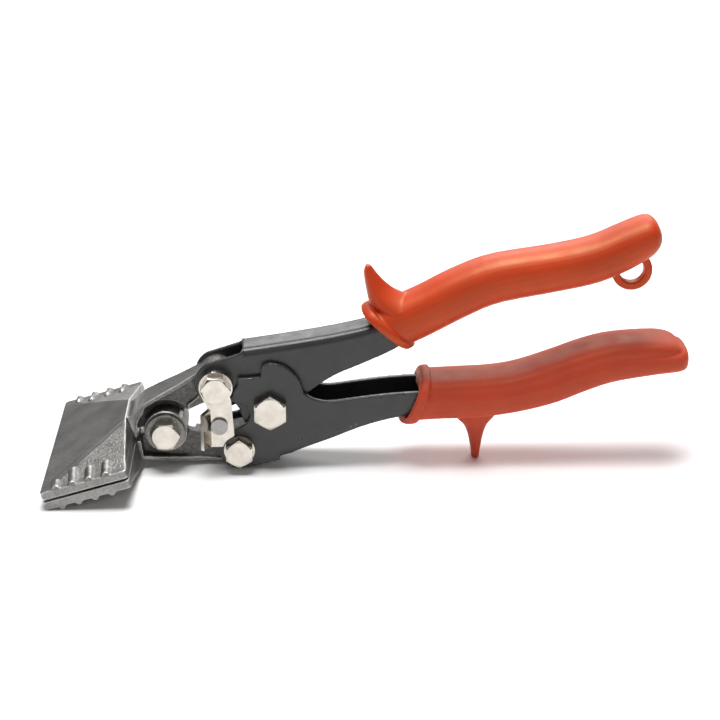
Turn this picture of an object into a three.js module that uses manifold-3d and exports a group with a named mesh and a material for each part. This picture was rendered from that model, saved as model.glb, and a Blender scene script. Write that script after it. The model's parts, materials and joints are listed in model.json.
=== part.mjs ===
// Hand seamer: two wide forged jaws on one pivot, worked through bolted links by two
// channel-section handles with soft grips. The tool stands on the front edge of its lower
// jaw and on the finger spur of its lower grip, with the jaws closed and latched.
// Millimetres, +X from the jaws to the grips, +Y across the jaws to the far side, +Z up.

import * as THREE from 'three';
import { ConvexGeometry } from 'three/addons/geometries/ConvexGeometry.js';
import { mergeVertices } from 'three/addons/utils/BufferGeometryUtils.js';
import Module from 'manifold-3d';

const wasm = await Module();
wasm.setup();

// ---------- driving dimensions ----------

const JAW_WIDTH = 84; // a nominal 3-1/4 in jaw
const JAW_DEPTH = 33; // from lip to back edge
const JAW_THICK = 3.2; // at the ends and at the lip
const JAW_GAP = 0.8; // daylight between the closed jaws
const JAW_TILT = THREE.MathUtils.degToRad(15.6); // closing plane above level
const LIP = [0.3, (JAW_THICK + JAW_GAP / 2) * Math.cos(JAW_TILT)]; // on the closing plane
const GAUGE_STEP = 6.35; // depth marks every 1/4 in

const JAW_PIVOT = [43.6, 15.7];
const UPPER_LINK = [63.3, 35.0];
const LOWER_LINK = [71.6, 8.75];
const HANDLE_PIVOT = [83.6, 24.8];

const SHEET = 2.2; // handle channel wall
const UPPER_HALF = 7.2; // half width of the upper channel
const LOWER_HALF = 9.6; // half width of the lower channel
const HUB_HALF = 8; // half width of the two jaw hubs together
const TAIL_HALF = 4.7; // half width of a jaw tail inside its channel
const HUB_R = 8.3;
const SCALLOP_R = 11; // room that each arm leaves for the other jaw's hub
const FRONT_X = LIP[0] - (JAW_THICK + JAW_GAP / 2) * Math.sin(JAW_TILT); // upper jaw's lip
const REAR_X = 243.2; // end of the lower grip

const LINK_SHANK_R = 3.1;
const PIVOT_SHANK_R = 3.9;
const RUN = 0.1; // running clearance in a pivot hole
const FACE = 0.1; // clearance between stacked faces
const SEAT = 0.03; // clearance under a bolt head or a nut
const CLOSE = 0.05; // clearance round a shank that doesn't turn in its hole
const WASHER = 1.5;
const ACROSS = 20; // reach of a cutting tool past every wall it meets
const ROUND = 28; // facets round a turned part

// ---------- materials ----------

function metal(colour, roughness) {
  return new THREE.MeshStandardMaterial({ color: colour, roughness, metalness: 1 });
}

const forged = metal(0x9a9794, 0.38);
const plated = metal(0xd9d2c6, 0.22);
const steel = metal(0x8c8a87, 0.4);
const darkSteel = metal(0x5a5856, 0.35);
const blackCoat = new THREE.MeshStandardMaterial({ color: 0x2b2a2a, roughness: 0.42, metalness: 0.3 });
const upperVinyl = new THREE.MeshStandardMaterial({ color: 0xd4502a, roughness: 0.48, metalness: 0 });
const lowerVinyl = new THREE.MeshStandardMaterial({ color: 0xcf4a34, roughness: 0.48, metalness: 0 });

// ---------- solids ----------

function solid(geometry) {
  const bare = geometry.index ? geometry.toNonIndexed() : geometry.clone();
  for (const name of Object.keys(bare.attributes)) {
    if (name !== 'position') bare.deleteAttribute(name);
  }
  const merged = mergeVertices(bare, 1e-4);
  return new wasm.Manifold(
    new wasm.Mesh({
      numProp: 3,
      vertProperties: new Float32Array(merged.attributes.position.array),
      triVerts: new Uint32Array(merged.index.array),
    }),
  );
}

function toMesh(name, body, material) {
  const { vertProperties, triVerts } = body.getMesh();
  const geometry = new THREE.BufferGeometry();
  geometry.setAttribute('position', new THREE.BufferAttribute(new Float32Array(vertProperties), 3));
  geometry.setIndex(new THREE.BufferAttribute(new Uint32Array(triVerts), 1));
  geometry.computeVertexNormals();
  const mesh = new THREE.Mesh(geometry, material);
  mesh.name = name;
  return mesh;
}

function join(first, ...others) {
  return others.reduce((sum, body) => sum.add(body), first);
}

function cut(first, ...tools) {
  return tools.reduce((rest, tool) => rest.subtract(tool), first);
}

// a flat body: an outline in X and Z, spread from yNear to yFar
function slab(shape, yNear, yFar) {
  const geometry = new THREE.ExtrudeGeometry(shape, {
    depth: yFar - yNear,
    bevelEnabled: false,
    curveSegments: 10,
  });
  geometry.rotateX(Math.PI / 2);
  geometry.translate(0, yFar, 0);
  return solid(geometry);
}

function outline(points) {
  return new THREE.Shape(points.map(([x, z]) => new THREE.Vector2(x, z)));
}

function smooth(points, steps) {
  const curve = new THREE.SplineCurve(points.map(([x, z]) => new THREE.Vector2(x, z)));
  return curve.getPoints(steps).map((p) => [p.x, p.y]);
}

// points on an arc about a centre, by angles in degrees
function arc([x, z], radius, from, to, steps = 12) {
  return Array.from({ length: steps + 1 }, (_, i) => {
    const angle = THREE.MathUtils.degToRad(from + ((to - from) * i) / steps);
    return [x + radius * Math.cos(angle), z + radius * Math.sin(angle)];
  });
}

// a cylinder across the tool
function cross([x, z], radius, yNear, yFar, sides = ROUND) {
  const geometry = new THREE.CylinderGeometry(radius, radius, yFar - yNear, sides);
  geometry.translate(x, (yNear + yFar) / 2, z);
  return solid(geometry);
}

function ring(centre, outer, inner, yNear, yFar) {
  return cut(cross(centre, outer, yNear, yFar), cross(centre, inner, yNear - 1, yFar + 1));
}

// a closed skin through a run of equal loops of points, capped at both ends
function skin(loops) {
  const sides = loops[0].length;
  const positions = loops.flat(2);
  const index = [];
  for (let i = 0; i < loops.length - 1; i += 1) {
    for (let j = 0; j < sides; j += 1) {
      const a = i * sides + j;
      const b = i * sides + ((j + 1) % sides);
      index.push(a, a + sides, b, b, a + sides, b + sides);
    }
  }
  const last = (loops.length - 1) * sides;
  for (let j = 1; j < sides - 1; j += 1) {
    index.push(0, j, j + 1);
    index.push(last, last + j + 1, last + j);
  }
  const geometry = new THREE.BufferGeometry();
  geometry.setAttribute('position', new THREE.Float32BufferAttribute(positions, 3));
  geometry.setIndex(index);
  return solid(geometry);
}

// a loop of points round the line between a top and a bottom point; squareness 2 gives an ellipse and
// more a fuller section, and a bow below 1 carries the sides back towards the top point
function ovalLoop([topX, topZ], [bottomX, bottomZ], half, { squareness = 2, bow = 1, sides = 24 }) {
  const full = (wave) => Math.sign(wave) * Math.abs(wave) ** (2 / squareness);
  return Array.from({ length: sides }, (_, j) => {
    const angle = (2 * Math.PI * j) / sides;
    const share = Math.max(0, (1 + full(Math.cos(angle))) / 2);
    return [
      bottomX + (topX - bottomX) * share ** bow,
      half * full(Math.sin(angle)),
      bottomZ + (topZ - bottomZ) * share,
    ];
  });
}

// a body of oval section between an upper and a lower edge line, with a half width along it
function ovalBody(upper, lower, halfWidth, steps, form) {
  const top = smooth(upper, steps);
  const bottom = smooth(lower, steps);
  return skin(top.map((point, i) => ovalLoop(point, bottom[i], halfWidth(i / steps), form)));
}

// ---------- fasteners ----------

// a hexagon across the tool; spin turns its corners, in degrees
function hexagon([x, z], acrossFlats, yNear, yFar, spin) {
  const radius = acrossFlats / 2 / Math.cos(Math.PI / 6);
  const geometry = new THREE.CylinderGeometry(radius, radius, yFar - yNear, 6);
  geometry.rotateY(THREE.MathUtils.degToRad(spin));
  geometry.translate(x, (yNear + yFar) / 2, z);
  return solid(geometry);
}

// a cone that trims the corners of a hexagon's outer face
function cornerTrim([x, z], acrossFlats, yFace, outward) {
  const depth = 8;
  const faceR = 0.95 * (acrossFlats / 2);
  const geometry = new THREE.CylinderGeometry(faceR + depth * CORNER_SLOPE, faceR, depth, ROUND);
  if (outward > 0) geometry.rotateX(Math.PI);
  geometry.translate(x, yFace - (outward * depth) / 2, z);
  return solid(geometry);
}

const HEAD_HEIGHT = 4;
const CORNER_SLOPE = 1.73; // a 30 degree trim on the corners of heads and nuts
const NUT_HEIGHT = 5;

// bolt with its head on the near side, seated at ySeat, its threaded end reaching to yEnd
function bolt(centre, acrossFlats, shankR, ySeat, yEnd, spin) {
  const yFace = ySeat - HEAD_HEIGHT;
  const head = hexagon(centre, acrossFlats, yFace, ySeat, spin).intersect(
    cornerTrim(centre, acrossFlats, yFace, -1),
  );
  return head.add(cross(centre, shankR, ySeat - 0.5, yEnd));
}

function nut(centre, acrossFlats, shankR, ySeat) {
  const yFace = ySeat + NUT_HEIGHT;
  const body = hexagon(centre, acrossFlats, ySeat, yFace, 0).intersect(
    cornerTrim(centre, acrossFlats, yFace, 1),
  );
  return cut(body, cross(centre, shankR + CLOSE, ySeat - 1, yFace + 1));
}

// ---------- jaws ----------

// from jaw coordinates (along the closing plane, across, off it) into the tool
function placeJaw(body, side) {
  const matrix = new THREE.Matrix4()
    .makeTranslation(LIP[0], 0, LIP[1])
    .multiply(new THREE.Matrix4().makeRotationY(-JAW_TILT))
    .multiply(new THREE.Matrix4().makeScale(1, 1, side));
  return body.transform(matrix.toArray());
}

// the flat plate with rounded corners, lying on the closing plane
function jawPlate() {
  const half = JAW_WIDTH / 2;
  const corner = 1.4;
  const shape = new THREE.Shape();
  shape.moveTo(0, -half + corner);
  shape.absarc(corner, -half + corner, corner, Math.PI, 1.5 * Math.PI);
  shape.absarc(JAW_DEPTH - corner, -half + corner, corner, 1.5 * Math.PI, 2 * Math.PI);
  shape.absarc(JAW_DEPTH - corner, half - corner, corner, 0, 0.5 * Math.PI);
  shape.absarc(corner, half - corner, corner, 0.5 * Math.PI, Math.PI);
  const geometry = new THREE.ExtrudeGeometry(shape, {
    depth: JAW_THICK,
    bevelEnabled: false,
    curveSegments: 5,
  });
  geometry.translate(0, 0, JAW_GAP / 2);
  return solid(geometry);
}

const ROOT_HALF = 8; // half width of the swell where the arm starts
const ROOT_RISE = 7; // height of the swell there, above the plate
const SWELL_LIP = 1.2; // the swell starts this far behind the lip
const SWELL_END = 3; // and this far in from the plate's ends

// the middle of the plate swells towards the arm; creases run out to the front corners
function jawSwell() {
  const base = JAW_GAP / 2 + 0.5;
  const top = JAW_GAP / 2 + JAW_THICK;
  const front = JAW_WIDTH / 2 - SWELL_END;
  const rear = JAW_DEPTH - 0.4;
  const foot = [[0.6, -front], [rear, -front], [rear, front], [0.6, front]];
  const crest = [
    [SWELL_LIP, -front, top],
    [rear, -ROOT_HALF, top + ROOT_RISE],
    [rear, ROOT_HALF, top + ROOT_RISE],
    [SWELL_LIP, front, top],
  ];
  const lower = foot.map(([u, y]) => [u, y, base]);
  const middle = foot.map(([u, y]) => [u, y, top - 0.05]);
  const corners = [...lower, ...middle, ...crest].map(([u, y, w]) => new THREE.Vector3(u, y, w));
  return solid(new ConvexGeometry(corners));
}

// height of the swell above the plate at a distance behind the lip and in from the nearer end
function swellRise(along, inward) {
  const byLip = (along - SWELL_LIP) / (JAW_DEPTH - SWELL_LIP);
  const byEnd = (inward - SWELL_END) / (JAW_WIDTH / 2 - SWELL_END - ROOT_HALF);
  return ROOT_RISE * Math.max(0, Math.min(byLip, byEnd));
}

// depth marks: round-backed bars that run in from each end over the swell, with domed tips
function jawGauges() {
  const lengths = [6.2, 10.8, 9.2, 9.8]; // the first ends short, clear of the bench
  const radius = 1.5;
  const sunk = 0.15;
  const bars = [];
  for (const end of [-1, 1]) {
    lengths.forEach((length, mark) => {
      const along = (mark + 1) * GAUGE_STEP;
      const dome = [[length - 1.5, 1], [length - 0.7, 0.85], [length, 0.4]];
      const stations = [[0.2, 1], [SWELL_END, 1], [length / 2, 1], ...dome];
      const loops = stations.map(([inward, share]) => {
        const y = end * (JAW_WIDTH / 2 - inward);
        const level = JAW_GAP / 2 + JAW_THICK + swellRise(along, inward) - sunk;
        return barLoop([along, y, level], radius * share, -end);
      });
      bars.push(skin(loops));
    });
  }
  return bars;
}

// one round section of a depth mark; turn is its direction, 1 or -1
function barLoop([along, y, level], radius, turn) {
  const sides = 14;
  return Array.from({ length: sides }, (_, i) => {
    const angle = (turn * 2 * Math.PI * i) / sides;
    return [along + radius * Math.cos(angle), y, level + radius * Math.sin(angle)];
  });
}

// top edge of the upper arm, from the plate to the link eye
const ARM_TOP = [[31, 22.6], [35.2, 26.8], [41.2, 30.2], [49, 34.3], [57.4, 39.2]];

// side view of the upper jaw's arm, from the plate's back edge to the link eye
function upperArm() {
  return outline([
    jawToTool([JAW_DEPTH - 6, 1]),
    jawToTool([JAW_DEPTH + 4, 1]),
    JAW_PIVOT,
    [51, 21.6],
    [52.6, 23.4],
    [58.6, 26.0],
    ...arc(UPPER_LINK, 7.2, -70, 130, 14),
    ...ARM_TOP.slice().reverse(),
    jawToTool([JAW_DEPTH - 3, 9.4]),
  ]);
}

// side view of the lower jaw's arm
function lowerArm() {
  const root = jawToTool([JAW_DEPTH - 6, -1]);
  const crest = jawToTool([JAW_DEPTH - 3, -8.6]);
  return outline([
    crest,
    [34.5, 4.3],
    [45, 2.6],
    [58, 1.7],
    ...arc(LOWER_LINK, 7.2, -100, 80, 14),
    [62.6, 13.2],
    [56, 13.8],
    [52, 14.8],
    JAW_PIVOT,
    jawToTool([JAW_DEPTH + 4, -1]),
    root,
  ]);
}

function jawToTool([u, w]) {
  const c = Math.cos(JAW_TILT);
  const s = Math.sin(JAW_TILT);
  return [LIP[0] + u * c - w * s, LIP[1] + u * s + w * c];
}

// the arm narrows from the plate towards the link eye
function armWidth(xWide, xSlim) {
  const wide = HUB_HALF - 0.2;
  return slabInPlan([
    [0, -wide - 1.5],
    [xWide, -wide],
    [xSlim, -TAIL_HALF],
    [95, -TAIL_HALF],
    [95, TAIL_HALF],
    [xSlim, TAIL_HALF],
    [xWide, wide],
    [0, wide + 1.5],
  ], -10, 80);
}

// a body with a plan outline in X and Y
function slabInPlan(points, zLow, zHigh) {
  const geometry = new THREE.ExtrudeGeometry(outline(points), {
    depth: zHigh - zLow,
    bevelEnabled: false,
  });
  geometry.translate(0, 0, zLow);
  return solid(geometry);
}

const WEB_HALF = 3.6; // half thickness of an arm's web
const HUB_SPLIT = 0.15; // from the middle of the tool to the inner face of each hub

// the recess forged into both faces of an arm, down to its web
function armRecess(points) {
  const shape = outline(points);
  return [slab(shape, -ACROSS, -WEB_HALF), slab(shape, WEB_HALF, ACROSS)];
}

function upperJaw() {
  const plate = join(jawPlate(), jawSwell(), ...jawGauges());
  const arm = slab(upperArm(), -12, 12).intersect(armWidth(36, 56));
  const hub = cross(JAW_PIVOT, HUB_R, HUB_SPLIT, HUB_HALF);
  const flange = 1.5;
  const underFlange = ARM_TOP.slice(1).map(([x, z]) => [x + flange / 2, z - flange]);
  const eyeSide = arc([45.8, 37.6], 13.6, -10, -62, 6);
  const recess = armRecess([[33.4, 15], ...underFlange, ...eyeSide, [52, 15]]);
  return cut(
    join(placeJaw(plate, 1), cut(arm, ...recess), hub),
    cross(JAW_PIVOT, SCALLOP_R, -ACROSS, HUB_SPLIT),
    cross(JAW_PIVOT, LINK_SHANK_R + RUN, -ACROSS, ACROSS),
    cross(UPPER_LINK, LINK_SHANK_R + 2 * RUN, -ACROSS, ACROSS),
    closingCut(-1),
  );
}

function lowerJaw() {
  const plate = join(jawPlate(), jawSwell(), ...jawGauges());
  const arm = slab(lowerArm(), -12, 12).intersect(armWidth(38, 59));
  const hub = cross(JAW_PIVOT, HUB_R, -HUB_HALF, -HUB_SPLIT);
  const recess = armRecess([[34.8, 5.4], [65.5, 2.7], [65.5, 20], [33, 20]]);
  return cut(
    join(placeJaw(plate, -1), cut(arm, ...recess), hub),
    cross(JAW_PIVOT, SCALLOP_R, -HUB_SPLIT, ACROSS),
    cross(JAW_PIVOT, LINK_SHANK_R + RUN, -ACROSS, ACROSS),
    cross(LOWER_LINK, LINK_SHANK_R + RUN, -ACROSS, ACROSS),
    closingCut(1),
  );
}

// everything of one jaw that would reach past the closing plane in front of the hub
function closingCut(side) {
  const reach = 38;
  const depth = 20;
  const geometry = new THREE.BoxGeometry(reach, 2 * JAW_WIDTH, depth);
  geometry.translate(reach / 2 - 2, 0, (depth - JAW_GAP) / 2);
  return placeJaw(solid(geometry), side);
}

// ---------- handles ----------

// edge lines of the two channels, from their front ends to their ends inside the grips
const UPPER_TOP = [
  [73.5, 48.4], [95.3, 51.6], [112, 54.6], [124, 57.8], [138, 64.5], [155, 72.6], [175, 78.6], [198, 82.4],
];
const UPPER_BOTTOM = [
  [98.5, 30.9], [104, 35], [110, 38.5], [118, 41.9], [131, 48], [142, 55.2], [157, 64], [176, 70],
  [198, 74],
];
const LOWER_TOP = [
  [96.6, 31.2], [100.5, 28.8], [106.5, 27.8], [118, 29.2], [129, 30.4], [141, 31.1], [165, 32], [183, 35.2],
  [200, 40.4], [212, 43.2],
];
const LOWER_BOTTOM = [
  [77.5, 1.5], [87.4, 3.8], [95, 7.2], [106.4, 11.4], [118, 16.1], [129, 19.3], [141, 21.4], [152, 22.5],
  [165, 23.8], [183, 27], [200, 31.8], [212, 35],
];
const BEND_R = 3; // outer radius where a channel's web turns into its sides
const UPPER_WEB_START = 73.5; // front ends of the two webs
const LOWER_WEB_START = 87;

// the room under a web: level across, rounded at both sides, open away from the web
function underWeb(edge, half, radius, away) {
  const loops = edge.map(([x, z]) => {
    const rounding = Array.from({ length: 5 }, (_, i) => {
      const angle = (Math.PI / 8) * i;
      return [half - radius + radius * Math.sin(angle), z + away * (radius - radius * Math.cos(angle))];
    });
    const right = [...rounding, [half, z + away * 80]];
    const left = right.map(([y, height]) => [-y, height]).reverse();
    return [...right, ...left].map(([y, height]) => [x, y, height]);
  });
  return skin(away < 0 ? loops : loops.slice().reverse());
}

// a channel: the side outline, rounded along its web, less the space inside
function channel(side, edge, webStart, half, away) {
  const webbed = edge.filter(([x]) => x > webStart - 0.01);
  const [[, zFirst]] = webbed;
  const [xLast, zLast] = webbed[webbed.length - 1];
  const run = [[webStart, zFirst], ...webbed.slice(1), [xLast + 3, zLast]];
  const inside = run.map(([x, z]) => [x, z + away * SHEET]);
  const ahead = outline([[40, -20], [webStart, -20], [webStart, 90], [40, 90]]);
  const inner = half - SHEET;
  const body = slab(side, -half, half).intersect(
    join(underWeb(run, half, BEND_R, away), slab(ahead, -half, half)),
  );
  return cut(body, underWeb(inside, inner, BEND_R - SHEET, away), slab(ahead, -inner, inner));
}

function upperHandle() {
  const top = smooth(UPPER_TOP, 28);
  const side = outline([
    ...arc(UPPER_LINK, 8.3, 240, 115, 14),
    [72.6, 46.6],
    ...top,
    ...smooth(UPPER_BOTTOM, 24).reverse(),
    ...arc(HANDLE_PIVOT, 11.5, 10, -100, 10),
    ...arc(HANDLE_PIVOT, 11.5, -130, -175, 5),
    [69, 28.4],
  ]);
  return cut(
    channel(side, top, UPPER_WEB_START, UPPER_HALF, -1),
    cross(UPPER_LINK, LINK_SHANK_R + CLOSE, -ACROSS, ACROSS),
    cross(HANDLE_PIVOT, PIVOT_SHANK_R + RUN, -ACROSS, ACROSS),
  );
}

function lowerHandle() {
  const bottom = smooth(LOWER_BOTTOM, 28);
  const side = outline([
    ...arc(LOWER_LINK, 8.1, 95, 280, 16),
    ...bottom,
    ...smooth(LOWER_TOP, 24).reverse(),
    ...arc([83, 30.5], 13.3, 4, 88, 10),
    [80.6, 42.6],
    [80.2, 38.2],
    [71.6, 37.6],
    ...arc(HANDLE_PIVOT, 15.7, 140, 168, 5),
    [72.2, 27.9],
    ...arc([70.7, 22.9], 5.2, 50, -60, 8),
  ]);
  return cut(
    channel(side, bottom, LOWER_WEB_START, LOWER_HALF, 1),
    cross(LOWER_LINK, LINK_SHANK_R + CLOSE, -ACROSS, ACROSS),
    cross(HANDLE_PIVOT, PIVOT_SHANK_R + CLOSE, -ACROSS, ACROSS),
  );
}

// ---------- grips ----------

// the pocket of a grip: the channel's outline with clearance, open at the collar
function pocket(top, bottom, half, xEnd) {
  const gap = 0.25;
  const upper = smooth(top, 28).map(([x, z]) => [x, z + gap]);
  const lower = smooth(bottom, 24).map(([x, z]) => [x, z - gap]);
  const [, zTop] = upper[upper.length - 1];
  const [, zBottom] = lower[lower.length - 1];
  const room = outline([...upper, [xEnd, zTop], [xEnd, zBottom], ...lower.reverse()]);
  return slab(room, -half - gap, half + gap);
}

// half width along a grip: it swells from the mouth and rounds off over the last part of its run
function gripWidth(start, middle, roundFrom, roundRun) {
  return (t) => {
    const swell = start + (middle - start) * Math.sin(Math.min(1, t * 1.6) * Math.PI / 2);
    return swell * Math.sqrt(Math.max(0.02, 1 - Math.max(0, (t - roundFrom) / roundRun) ** 2));
  };
}

// raised band round a grip's mouth, between two leaning loops given by their top and bottom points
function collar(front, rear, half, form) {
  const lips = [0.5, 0, 0, 0.15]; // drawn in from the crown, loop by loop
  const loops = lips.map((lip, i) => {
    const t = i / (lips.length - 1);
    const at = (from, to, dz) => [from[0] + (to[0] - from[0]) * t, from[1] + (to[1] - from[1]) * t + dz];
    return ovalLoop(at(front[0], rear[0], -lip), at(front[1], rear[1], lip), half - lip, form);
  });
  return skin(loops);
}

const UPPER_GRIP_TOP = [
  [120.8, 61], [129.5, 65.4], [140, 70.2], [152, 76.5], [166.9, 82.2], [189.4, 85.8], [204.3, 89.1],
  [215.5, 93.9], [224.4, 97.2], [228.4, 95.2], [230.4, 90.9],
];
const UPPER_GRIP_BOTTOM = [
  [135.8, 47.9], [142.5, 50.9], [150, 54.9], [159.5, 59.9], [170.5, 64.5], [190, 68.3], [206, 71.7],
  [217, 76.2], [226, 81.6], [229.3, 85.2], [230.6, 88.9],
];
const UPPER_MOUTH = { squareness: 2.6, sides: 32 };

function upperGrip() {
  const body = ovalBody(UPPER_GRIP_TOP, UPPER_GRIP_BOTTOM, gripWidth(9.7, 10.1, 0.72, 0.28), 34, {
    squareness: 2.4,
    sides: 32,
  });
  const band = collar([[118.3, 62.4], [136.1, 46.2]], [[121.5, 64], [139, 48]], 11.1, UPPER_MOUTH);
  return cut(
    join(body, thumbGuard(), band, hangLoop()),
    pocket(UPPER_TOP, UPPER_BOTTOM, UPPER_HALF, 199),
  );
}

// horn in front of the thumb: as wide as the grip at its foot and narrow at its tip
function thumbGuard() {
  const front = [[125.6, 58.8], [121.9, 63.6], [120.3, 70], [119.4, 76.4], [120.2, 79.3]];
  const back = [[145, 66], [137.4, 67.4], [131.2, 69.8], [126.2, 74], [122.1, 79.3]];
  return ovalBody(front, back, (t) => 9 - 7.4 * t ** 0.9, 18, { squareness: 1.9, bow: 0.6, sides: 28 });
}

const LOOP_CENTRE = [220.2, 76.2];
const LOOP_HOLE_R = 4.7;

// hanging loop under the end of the upper grip
function hangLoop() {
  return ring(LOOP_CENTRE, 7.7, LOOP_HOLE_R, -2.2, 2.2);
}

// the lower grip is a roll along its lower part with a narrower crown on it, and creases between
const ROLL_TOP = [
  [141.2, 33], [151, 33.1], [163, 33.3], [176, 34.2], [191.2, 38.3], [203, 42.6], [214, 44.9], [229, 46.3],
  [237, 46.6], [241.4, 46.2], [243, 44.6],
];
const ROLL_BOTTOM = [
  [132.8, 17.7], [146, 18.6], [162, 19], [177.5, 21], [192, 24.6], [204, 29.5], [214.5, 33.2], [229, 35.8],
  [237, 36.8], [241.4, 37.6], [243.2, 39.8],
];
const CROWN_TOP = [
  [141.2, 34.8], [154, 35.3], [168.2, 36], [178.5, 37.7], [191.2, 41.9], [203, 46.3], [214, 49],
  [229, 49.9], [236.6, 48.9], [240.6, 46.4],
];
const CROWN_BOTTOM = [
  [138, 24.5], [154, 24.8], [168, 25.2], [179, 27.2], [191.6, 30.8], [203.2, 34.8], [214, 37.8],
  [229, 39.8], [236.6, 41.2], [240.6, 43],
];
const LOWER_MOUTH = { squareness: 3, bow: 0.6, sides: 36 };

function lowerGrip() {
  const roll = ovalBody(ROLL_TOP, ROLL_BOTTOM, gripWidth(12.2, 12.2, 0.78, 0.235), 34, LOWER_MOUTH);
  const crown = ovalBody(CROWN_TOP, CROWN_BOTTOM, gripWidth(10.9, 10.9, 0.82, 0.22), 34, {
    squareness: 3.2,
    bow: 0.6,
    sides: 36,
  });
  const band = collar([[141.2, 36.1], [132.5, 16.5]], [[144.9, 36.3], [137.4, 16.6]], 13.3, LOWER_MOUTH);
  return cut(join(roll, crown, fingerSpur(), band), pocket(LOWER_TOP, LOWER_BOTTOM, LOWER_HALF, 213));
}

// spur that keeps the fingers back; its small flat foot stands on the bench
function fingerSpur() {
  const front = [[149, 25], [154.4, 17.6], [157.8, 14.2], [159.7, 9.9], [161, 4], [161.4, 0]];
  const back = [[176, 25], [170.6, 18.2], [167.6, 14.6], [165.9, 9.8], [164.9, 4], [164.5, 0]];
  return ovalBody(back, front, (t) => 9.8 - 6.9 * t ** 0.8, 15, { sides: 24 });
}

// ---------- latch ----------

const LATCH_NEAR = -11.8;
const LATCH_FAR = -9.7;

// plate that hangs from the upper link bolt and props the lower one, with a bent thumb tab
function latchPlate() {
  const side = outline([
    ...arc(UPPER_LINK, 6.4, -35, 212, 18),
    [60.3, 26],
    [60.8, 10.7],
    ...arc(LOWER_LINK, 6.4, 162, 112, 5),
    [69.9, 15.4],
    [69, 29.7],
  ]);
  const tab = [[61.2, LATCH_FAR], [60.2, LATCH_FAR], [57.4, -16], [58.6, -16.6], [61.2, LATCH_NEAR]];
  return cut(
    join(slab(side, LATCH_NEAR, LATCH_FAR), slabInPlan(tab, 11.3, 25.9)),
    cross(UPPER_LINK, LINK_SHANK_R + RUN, -ACROSS, 0),
    cross(STUD_AT, STUD_SHANK_R + CLOSE, -ACROSS, 0),
  );
}

const STUD_AT = [64.3, 19.4];
const STUD_R = 3.2;
const STUD_SHANK_R = 2.35;

// riveted stud in the middle of the latch
function latchStud() {
  const head = cross(STUD_AT, STUD_R, LATCH_NEAR - 1.4, LATCH_NEAR - SEAT);
  return head.add(cross(STUD_AT, STUD_SHANK_R, LATCH_NEAR - 0.5, LATCH_FAR));
}

// ---------- spring ----------

const COIL_R = 6.2;
const WIRE_R = 0.7;

// torsion spring round the handle pivot; its legs lie along the two channel webs
function returnSpring() {
  const turns = 3;
  const perTurn = 18;
  const pitch = 1.7;
  const leg = 16;
  const start = THREE.MathUtils.degToRad(35);
  const total = turns * perTurn + 12; // the legs leave two thirds of a turn apart
  const [x, z] = HANDLE_PIVOT;
  const points = Array.from({ length: total + 1 }, (_, i) => {
    const angle = start - (2 * Math.PI * i) / perTurn;
    const y = pitch * (i / perTurn - turns / 2);
    return new THREE.Vector3(x - COIL_R * Math.sin(angle), y, z + COIL_R * Math.cos(angle));
  });
  const first = points[0].clone().sub(points[1]).normalize();
  const last = points[total].clone().sub(points[total - 1]).normalize();
  const lead = points[0].clone().addScaledVector(first, leg);
  const tail = points[total].clone().addScaledVector(last, leg);
  const section = new THREE.Shape().absarc(0, 0, WIRE_R, 0, 2 * Math.PI);
  const geometry = new THREE.ExtrudeGeometry(section, {
    steps: 110,
    curveSegments: 4,
    extrudePath: new THREE.CatmullRomCurve3([lead, ...points, tail]),
    bevelEnabled: false,
  });
  return solid(geometry);
}

// ---------- assembly ----------

const AF_LINK = 10; // heads and nuts of the jaw pivot and the links, across flats
const AF_PIVOT = 12; // and of the handle pivot
const LINK_HOLE_R = LINK_SHANK_R + CLOSE;
const THREAD_PAST = 6.3; // bolt end past the seat of its nut

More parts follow.
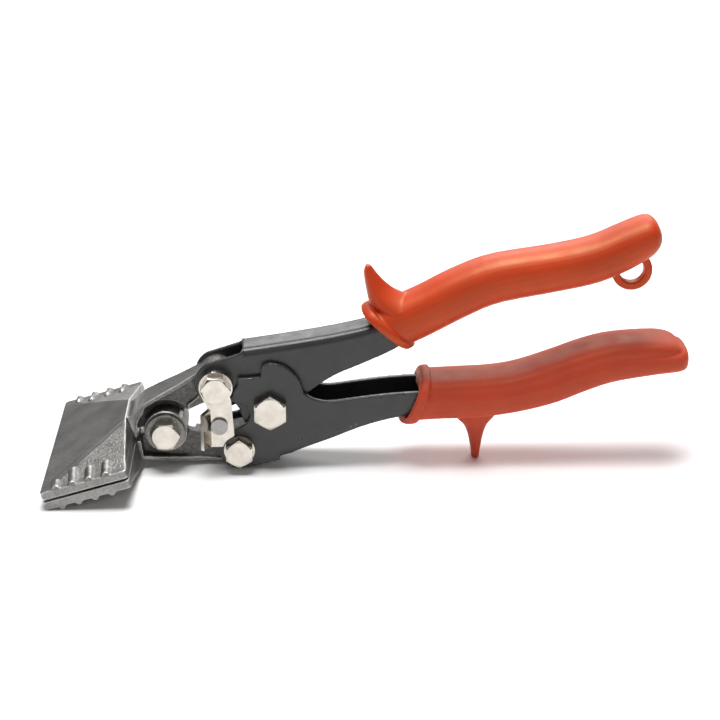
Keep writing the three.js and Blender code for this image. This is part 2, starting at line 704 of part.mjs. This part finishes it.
function build() {
  const tool = new THREE.Group();
  const add = (name, body, material) => tool.add(toMesh(name, body, material));
  const hubSeat = -HUB_HALF - FACE;

  add('lower_handle', lowerHandle(), blackCoat);
  add('lower_grip', lowerGrip(), lowerVinyl);
  add('upper_handle', upperHandle(), blackCoat);
  add('upper_grip', upperGrip(), upperVinyl);
  add('lower_jaw', lowerJaw(), forged);
  add('upper_jaw', upperJaw(), forged);

  const jawSeat = hubSeat - WASHER - SEAT;
  add('jaw_pivot_washer_near', ring(JAW_PIVOT, 7.4, LINK_HOLE_R, hubSeat - WASHER, hubSeat), darkSteel);
  add('jaw_pivot_washer_far', ring(JAW_PIVOT, 7.4, LINK_HOLE_R, -hubSeat, WASHER - hubSeat), darkSteel);
  add('jaw_pivot_bolt', bolt(JAW_PIVOT, AF_LINK, LINK_SHANK_R, jawSeat, THREAD_PAST - jawSeat, 30), plated);
  add('jaw_pivot_nut', nut(JAW_PIVOT, AF_LINK, LINK_SHANK_R, SEAT - jawSeat), plated);

  const upperSeat = -UPPER_HALF - FACE;
  const upperHeadSeat = LATCH_NEAR - FACE;
  const upperNutSeat = WASHER - upperSeat + SEAT;
  const upperEnd = upperNutSeat + THREAD_PAST;
  add('latch_spacer', ring(UPPER_LINK, 6.3, LINK_HOLE_R, LATCH_FAR + FACE, upperSeat), plated);
  add('upper_link_washer', ring(UPPER_LINK, 6.3, LINK_HOLE_R, -upperSeat, WASHER - upperSeat), plated);
  add('upper_link_bolt', bolt(UPPER_LINK, AF_LINK, LINK_SHANK_R, upperHeadSeat, upperEnd, 30), plated);
  add('upper_link_nut', nut(UPPER_LINK, AF_LINK, LINK_SHANK_R, upperNutSeat), plated);
  add('latch', latchPlate(), plated);
  add('latch_stud', latchStud(), steel);

  const lowerSeat = -LOWER_HALF - FACE;
  const inner = LOWER_HALF - SHEET - FACE;
  const linkSeat = lowerSeat - WASHER - SEAT;
  const linkEnd = THREAD_PAST - linkSeat;
  add('lower_link_spacer_near', ring(LOWER_LINK, 5.6, LINK_HOLE_R, -inner, -TAIL_HALF - FACE), steel);
  add('lower_link_spacer_far', ring(LOWER_LINK, 5.6, LINK_HOLE_R, TAIL_HALF + FACE, inner), steel);
  add('lower_link_washer_near', ring(LOWER_LINK, 5.9, LINK_HOLE_R, lowerSeat - WASHER, lowerSeat), plated);
  add('lower_link_washer_far', ring(LOWER_LINK, 5.9, LINK_HOLE_R, -lowerSeat, WASHER - lowerSeat), plated);
  add('lower_link_bolt', bolt(LOWER_LINK, AF_LINK, LINK_SHANK_R, linkSeat, linkEnd, 0), plated);
  add('lower_link_nut', nut(LOWER_LINK, AF_LINK, LINK_SHANK_R, SEAT - linkSeat), plated);

  const pivotEnd = THREAD_PAST - lowerSeat;
  add('handle_pivot_bolt', bolt(HANDLE_PIVOT, AF_PIVOT, PIVOT_SHANK_R, lowerSeat, pivotEnd, 0), plated);
  add('handle_pivot_nut', nut(HANDLE_PIVOT, AF_PIVOT, PIVOT_SHANK_R, -lowerSeat), plated);
  const half = UPPER_HALF - SHEET - FACE;
  add('handle_pivot_sleeve', ring(HANDLE_PIVOT, 4.9, PIVOT_SHANK_R + CLOSE, -half, half), steel);
  add('return_spring', returnSpring(), darkSteel);

  tool.position.x = -(FRONT_X + REAR_X) / 2;
  return tool;
}

export default build();
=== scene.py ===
import json
import math

import bpy
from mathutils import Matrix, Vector


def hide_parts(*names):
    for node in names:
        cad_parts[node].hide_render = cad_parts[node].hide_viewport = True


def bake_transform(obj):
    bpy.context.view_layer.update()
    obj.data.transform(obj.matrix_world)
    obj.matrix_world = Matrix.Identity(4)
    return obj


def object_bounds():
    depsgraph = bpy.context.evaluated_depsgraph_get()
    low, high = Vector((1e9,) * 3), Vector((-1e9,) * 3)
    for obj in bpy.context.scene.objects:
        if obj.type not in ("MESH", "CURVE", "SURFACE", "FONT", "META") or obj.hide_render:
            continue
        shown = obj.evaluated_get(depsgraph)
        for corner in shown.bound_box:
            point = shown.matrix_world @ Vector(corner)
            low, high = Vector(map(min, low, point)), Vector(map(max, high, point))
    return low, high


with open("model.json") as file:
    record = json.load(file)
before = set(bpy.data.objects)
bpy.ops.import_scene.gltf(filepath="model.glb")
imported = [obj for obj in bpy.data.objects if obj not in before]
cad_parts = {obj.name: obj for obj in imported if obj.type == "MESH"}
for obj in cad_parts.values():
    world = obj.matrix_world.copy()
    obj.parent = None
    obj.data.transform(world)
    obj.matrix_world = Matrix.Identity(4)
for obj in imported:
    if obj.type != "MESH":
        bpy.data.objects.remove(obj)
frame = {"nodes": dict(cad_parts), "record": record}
CAD_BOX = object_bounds()
NODES = frame["nodes"]
MM = 0.001

# ---------- camera ----------

AZIMUTH = math.radians(-2.06)
ELEVATION = math.radians(22.25)
DISTANCE = 688.05 * MM
FOCAL = 90.16
TARGET_BEHIND_LIP = 118.72 * MM
TARGET_HEIGHT = 40.82 * MM


def make_camera():
    low, _ = CAD_BOX
    target = Vector((low[0] + TARGET_BEHIND_LIP, 0, TARGET_HEIGHT))
    back = Vector((
        math.sin(AZIMUTH) * math.cos(ELEVATION),
        -math.cos(AZIMUTH) * math.cos(ELEVATION),
        math.sin(ELEVATION),
    ))
    data = bpy.data.cameras.new("camera")
    data.lens = FOCAL
    data.sensor_width = 36
    data.clip_start = 0.01
    data.clip_end = 20
    camera = bpy.data.objects.new("camera", data)
    bpy.context.scene.collection.objects.link(camera)
    camera.location = target + back * DISTANCE
    camera.rotation_euler = (-back).to_track_quat("-Z", "Y").to_euler()
    bpy.context.scene.camera = camera


# ---------- floor and light ----------

FLOOR_REACH = 6
FLOOR_TONE = (0.93, 0.93, 0.93, 1)
FILL_TONE = (1, 0.98, 0.95, 1)
FILL_STRENGTH = 0.15


def area_light(name, place, aim, size, power):
    data = bpy.data.lights.new(name, "AREA")
    data.shape = "RECTANGLE"
    data.size, data.size_y = size
    data.energy = power
    light = bpy.data.objects.new(name, data)
    bpy.context.scene.collection.objects.link(light)
    light.location = place
    towards = Vector(aim) - Vector(place)
    light.rotation_euler = towards.to_track_quat("-Z", "Y").to_euler()


def make_floor():
    mesh = bpy.data.meshes.new("floor")
    turns = ((-1, -1), (1, -1), (1, 1), (-1, 1))
    corners = [(FLOOR_REACH * x, FLOOR_REACH * y, 0) for x, y in turns]
    mesh.from_pydata(corners, [], [(0, 1, 2, 3)])
    floor = bpy.data.objects.new("floor", mesh)
    bpy.context.scene.collection.objects.link(floor)
    material = bpy.data.materials.new("floor_white")
    material.use_nodes = True
    shader = material.node_tree.nodes["Principled BSDF"]
    shader.inputs["Base Color"].default_value = FLOOR_TONE
    shader.inputs["Roughness"].default_value = 0.8
    shader.inputs["Specular IOR Level"].default_value = 0.2
    floor.data.materials.append(material)


def make_studio():
    world = bpy.data.worlds.new("studio")
    world.use_nodes = True
    background = world.node_tree.nodes["Background"]
    background.inputs["Color"].default_value = FILL_TONE
    background.inputs["Strength"].default_value = FILL_STRENGTH
    bpy.context.scene.world = world

    area_light("key", place=(-0.05, 0.05, 1.05), aim=(0, 0, 0.03), size=(0.7, 0.5), power=15.5)
    area_light("back", place=(0.4, 2.0, 1.15), aim=(0.3, 1.3, 0), size=(2.0, 1.5), power=31)
    area_light("front", place=(0.1, -1.9, 1.1), aim=(0, -1.4, 0), size=(2.4, 0.7), power=5)
    make_floor()
    bpy.context.scene.view_settings.view_transform = "Standard"


# ---------- materials ----------

class Nodes:
    """Short calls for building one material's nodes.

    Coordinates and bump distances are in metres, and noise scales in cells a metre.
    """

    def __init__(self, name):
        self.material = bpy.data.materials.new(name)
        self.material.use_nodes = True
        self.tree = self.material.node_tree
        self.shader = self.tree.nodes["Principled BSDF"]
        self.place = self.tree.nodes.new("ShaderNodeTexCoord").outputs["Object"]

    def link(self, source, target):
        self.tree.links.new(source, target)

    def noise(self, scale, detail, roughness=0.5, stretch=None):
        node = self.tree.nodes.new("ShaderNodeTexNoise")
        node.inputs["Scale"].default_value = scale
        node.inputs["Detail"].default_value = detail
        node.inputs["Roughness"].default_value = roughness
        where = self.place
        if stretch:
            mapping = self.tree.nodes.new("ShaderNodeMapping")
            mapping.inputs["Scale"].default_value = stretch
            self.link(where, mapping.inputs["Vector"])
            where = mapping.outputs["Vector"]
        self.link(where, node.inputs["Vector"])
        return node.outputs["Fac"]

    def spread(self, value, low, high, span=(0.3, 0.7)):
        node = self.tree.nodes.new("ShaderNodeMapRange")
        node.inputs["From Min"].default_value = span[0]
        node.inputs["From Max"].default_value = span[1]
        node.inputs["To Min"].default_value = low
        node.inputs["To Max"].default_value = high
        self.link(value, node.inputs["Value"])
        return node.outputs["Result"]

    def bump(self, height, distance, strength, below=None):
        node = self.tree.nodes.new("ShaderNodeBump")
        node.inputs["Distance"].default_value = distance
        node.inputs["Strength"].default_value = strength
        self.link(height, node.inputs["Height"])
        if below:
            self.link(below, node.inputs["Normal"])
        return node.outputs["Normal"]

    def calc(self, operation, first, second=None, third=None):
        node = self.tree.nodes.new("ShaderNodeMath")
        node.operation = operation
        for socket, value in zip(node.inputs, (first, second, third)):
            if isinstance(value, (int, float)):
                socket.default_value = value
            elif value is not None:
                self.link(value, socket)
        return node.outputs["Value"]

    def axes(self):
        node = self.tree.nodes.new("ShaderNodeSeparateXYZ")
        self.link(self.place, node.inputs["Vector"])
        return node.outputs["X"], node.outputs["Y"], node.outputs["Z"]

    def edges(self, span):
        """Rises from 0 to 1 over a span of pointiness: hollows are low, flats 0.5, edges high."""
        node = self.tree.nodes.new("ShaderNodeNewGeometry")
        return self.spread(node.outputs["Pointiness"], 0, 1, span)

    def tint(self, value, first, second):
        """Mixes two colours; either may be a socket."""
        node = self.tree.nodes.new("ShaderNodeMix")
        node.data_type = "RGBA"
        for name, colour in (("A", first), ("B", second)):
            if isinstance(colour, tuple):
                node.inputs[name].default_value = (*colour, 1)
            else:
                self.link(colour, node.inputs[name])
        self.link(value, node.inputs["Factor"])
        return node.outputs["Result"]

    def set(self, **values):
        for name, value in values.items():
            self.shader.inputs[name.replace("_", " ")].default_value = value

    def feed(self, **sources):
        for name, source in sources.items():
            self.link(source, self.shader.inputs[name.replace("_", " ")])


def vinyl(name, light, deep, rough):
    """Soft moulded sleeve: satin, faintly clouded, with a fine orange-peel skin."""
    made = Nodes(name)
    made.set(Specular_IOR_Level=0.6, Specular_Tint=(1, 0.9, 0.5, 1), Subsurface_Weight=0.03)
    made.set(Sheen_Weight=0.2, Sheen_Roughness=0.4, Sheen_Tint=(1, 0.6, 0.3, 1))
    made.shader.inputs["Subsurface Radius"].default_value = (0.003, 0.0008, 0.0004)
    made.shader.inputs["Subsurface Scale"].default_value = 0.4
    cloud = made.noise(60, 4)
    smears = made.noise(110, 3, 0.5, (0.25, 1, 1))
    patches = made.noise(180, 5)
    peel = made.bump(made.noise(420, 2), 0.12 * MM, 0.25)
    smeared = made.spread(smears, 0, 0.08)
    made.feed(
        Base_Color=made.tint(made.spread(cloud, 0, 1), light, deep),
        Roughness=made.calc("ADD", smeared, made.spread(patches, rough, rough + 0.1)),
        Normal=made.bump(made.noise(2600, 4), 0.06 * MM, 0.35, peel),
    )
    return made.material


# A plate's raised corners start at a slanting crease; its arm starts behind them, and has a
# thin web between two flanges.
CREASE_SLOPE = 1.07
CREASE_FOOT = 43 * MM
CREASE_BLUR = 0.3 * MM
ARM_START = (33 * MM, 34 * MM)
WEB_EDGE = (4.3 * MM, 4.8 * MM)


def forged(name):
    """Dark satin forging: pebbled where the dies left it, worn bright on its edges with a painted
    highlight there, and with painted shade in its hollows and on its arms.
    """
    made = Nodes(name)
    made.set(Metallic=1.0)
    x, y, _ = made.axes()
    across = made.calc("ABSOLUTE", y)
    behind_lip = made.calc("SUBTRACT", x, CAD_BOX[0][0])
    slant = made.calc("MULTIPLY_ADD", behind_lip, CREASE_SLOPE, across)
    past_crease = made.calc("SUBTRACT", slant, CREASE_FOOT)
    corner = made.spread(past_crease, 0, 1, (-CREASE_BLUR, CREASE_BLUR))
    arm = made.spread(behind_lip, 0, 1, ARM_START)
    web = made.calc("MULTIPLY", arm, made.spread(across, 1, 0, WEB_EDGE))
    pebbled = made.calc("MAXIMUM", made.calc("MULTIPLY_ADD", corner, 0.35, 0.35), web)
    # Convex edges are lightened and polished: partly wear, partly a painted highlight.
    wear_and_edge_highlight = made.edges((0.51, 0.56))
    # Painted shade: hollows and inner corners, round the ribs among them, are darkened toward
    # near black.
    painted_hollow_shade = made.calc("SUBTRACT", 1.0, made.edges((0.45, 0.492)))
    blotch = made.noise(90, 6, 0.6)
    pebble = made.noise(950, 5, 0.65)
    grain = made.noise(3200, 4, 0.6)
    tone = made.tint(made.spread(blotch, 0, 1), (0.42, 0.408, 0.395), (0.23, 0.223, 0.215))
    pits = made.calc("MULTIPLY", pebbled, made.spread(pebble, 0.9, 0))
    # Painted shade: the arms are darkened as a whole.
    tone = made.tint(made.calc("MULTIPLY", arm, 0.4), tone, (0.11, 0.105, 0.1))
    tone = made.tint(pits, tone, (0.1, 0.095, 0.09))
    tone = made.tint(made.calc("MULTIPLY", painted_hollow_shade, 0.85), tone, (0.05, 0.048, 0.046))
    tone = made.tint(made.calc("MULTIPLY", wear_and_edge_highlight, 0.8), tone, (0.8, 0.79, 0.77))
    fine = made.bump(grain, 0.05 * MM, 0.3, made.bump(blotch, 0.4 * MM, 0.25))
    rough = made.calc("MULTIPLY_ADD", pebbled, 0.12, made.spread(grain, 0.26, 0.38))
    made.feed(
        Base_Color=tone,
        Roughness=made.calc("MULTIPLY_ADD", wear_and_edge_highlight, -0.08, rough),
        Normal=made.bump(made.calc("MULTIPLY", pebble, pebbled), 0.7 * MM, 0.8, fine),
    )
    return made.material


def plated(name):
    """Bright nickel with faint tarnish and fine scratches."""
    made = Nodes(name)
    made.set(Metallic=1.0)
    tarnish = made.spread(made.noise(240, 6, 0.65), 0, 1, (0.35, 0.75))
    scratches = made.noise(900, 3, 0.6, (6, 1, 0.4))
    dents = made.bump(made.noise(420, 3), 0.12 * MM, 0.25)
    made.feed(
        Base_Color=made.tint(tarnish, (0.63, 0.59, 0.533), (0.48, 0.44, 0.385)),
        Roughness=made.calc("MULTIPLY_ADD", tarnish, 0.08, made.spread(scratches, 0.13, 0.2)),
        Normal=made.bump(scratches, 0.04 * MM, 0.2, dents),
    )
    return made.material


def bare_steel(name, tone, rough):
    """Uncoated steel, faintly mottled."""
    made = Nodes(name)
    made.set(Metallic=1.0)
    darker = tuple(0.75 * channel for channel in tone)
    mottle = made.spread(made.noise(300, 4), 0, 1)
    made.feed(
        Base_Color=made.tint(mottle, tone, darker),
        Roughness=made.spread(made.noise(900, 4), rough, rough + 0.12),
        Normal=made.bump(made.noise(1200, 4), 0.08 * MM, 0.25),
    )
    return made.material


def black_coat(name):
    """Semi-matte black over pressed sheet, rubbed thin along its bends and rims, which also carry
    a painted highlight.
    """
    made = Nodes(name)
    made.set(Specular_IOR_Level=0.54)
    # Bends and rims are lightened: partly a rubbed-thin coat, partly a painted highlight.
    wear_and_edge_highlight = made.edges((0.55, 0.63))
    blotch = made.noise(70, 5)
    tone = made.tint(made.spread(blotch, 0, 1), (0.026, 0.0255, 0.0255), (0.017, 0.0166, 0.0166))
    waves = made.bump(blotch, 0.4 * MM, 0.2)
    made.feed(
        Base_Color=made.tint(made.calc("MULTIPLY", wear_and_edge_highlight, 0.3), tone, (0.3, 0.295, 0.29)),
        Roughness=made.spread(made.noise(260, 5), 0.27, 0.4),
        Normal=made.bump(made.noise(1700, 4), 0.06 * MM, 0.3, waves),
    )
    return made.material


MATERIALS = {
    "upper_vinyl": vinyl("upper_vinyl", (0.52, 0.033, 0.004), (0.43, 0.025, 0.003), 0.4),
    "lower_vinyl": vinyl("lower_vinyl", (0.49, 0.039, 0.02), (0.4, 0.031, 0.016), 0.5),
    "forged_steel": forged("forged_steel"),
    "plated_steel": plated("plated_steel"),
    "bare_steel": bare_steel("bare_steel", (0.36, 0.35, 0.34), 0.3),
    "dark_steel": bare_steel("dark_steel", (0.2, 0.192, 0.18), 0.22),
    "black_coat": black_coat("black_coat"),
}


# ---------- pieces ----------

EASED_EDGE = 0.25 * MM
SHARP = math.radians(28)
# Voxel size and smoothing passes, by the last word of the node's name.
MELTED = {"grip": (0.38 * MM, 6), "jaw": (0.33 * MM, 3), "handle": (0.4 * MM, 3)}


def dress(obj, slot):
    obj.data.materials.clear()
    obj.data.materials.append(MATERIALS[slot])


def ease_edges(obj):
    """Round the sharp edges of a hard piece, and shade it smooth between them."""
    for polygon in obj.data.polygons:
        polygon.use_smooth = True
    bevel = obj.modifiers.new("eased edges", "BEVEL")
    bevel.width = EASED_EDGE
    bevel.segments = 3
    bevel.limit_method = "ANGLE"
    bevel.angle_limit = SHARP
    bevel.harden_normals = True
    bevel.use_clamp_overlap = True


def soften(obj, voxel, passes):
    """Melt the joins of a moulded or forged piece together."""
    remesh = obj.modifiers.new("even mesh", "REMESH")
    remesh.mode = "VOXEL"
    remesh.voxel_size = voxel
    remesh.use_smooth_shade = True
    smooth = obj.modifiers.new("melted joins", "SMOOTH")
    smooth.factor = 0.5
    smooth.iterations = passes


def bending_spring():
    """The torsion spring, copied as one smooth-shaded dark steel piece in place of the imported
    one.
    """
    node = NODES["return_spring"]
    spring = bpy.data.objects.new("spring", node.data.copy())
    bpy.context.scene.collection.objects.link(spring)
    spring.matrix_world = node.matrix_world
    for polygon in spring.data.polygons:
        polygon.use_smooth = True
    dress(spring, "dark_steel")
    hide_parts("return_spring")
    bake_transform(spring)


make_camera()
make_studio()
SLOTS = {entry["node"]: entry["material_slot"] for entry in frame["record"]["subparts"]}
for node, obj in NODES.items():
    dress(obj, SLOTS[node])
    kind = node.split("_")[-1]
    if kind in MELTED:
        soften(obj, *MELTED[kind])
    elif node != "return_spring":
        ease_edges(obj)
bending_spring()
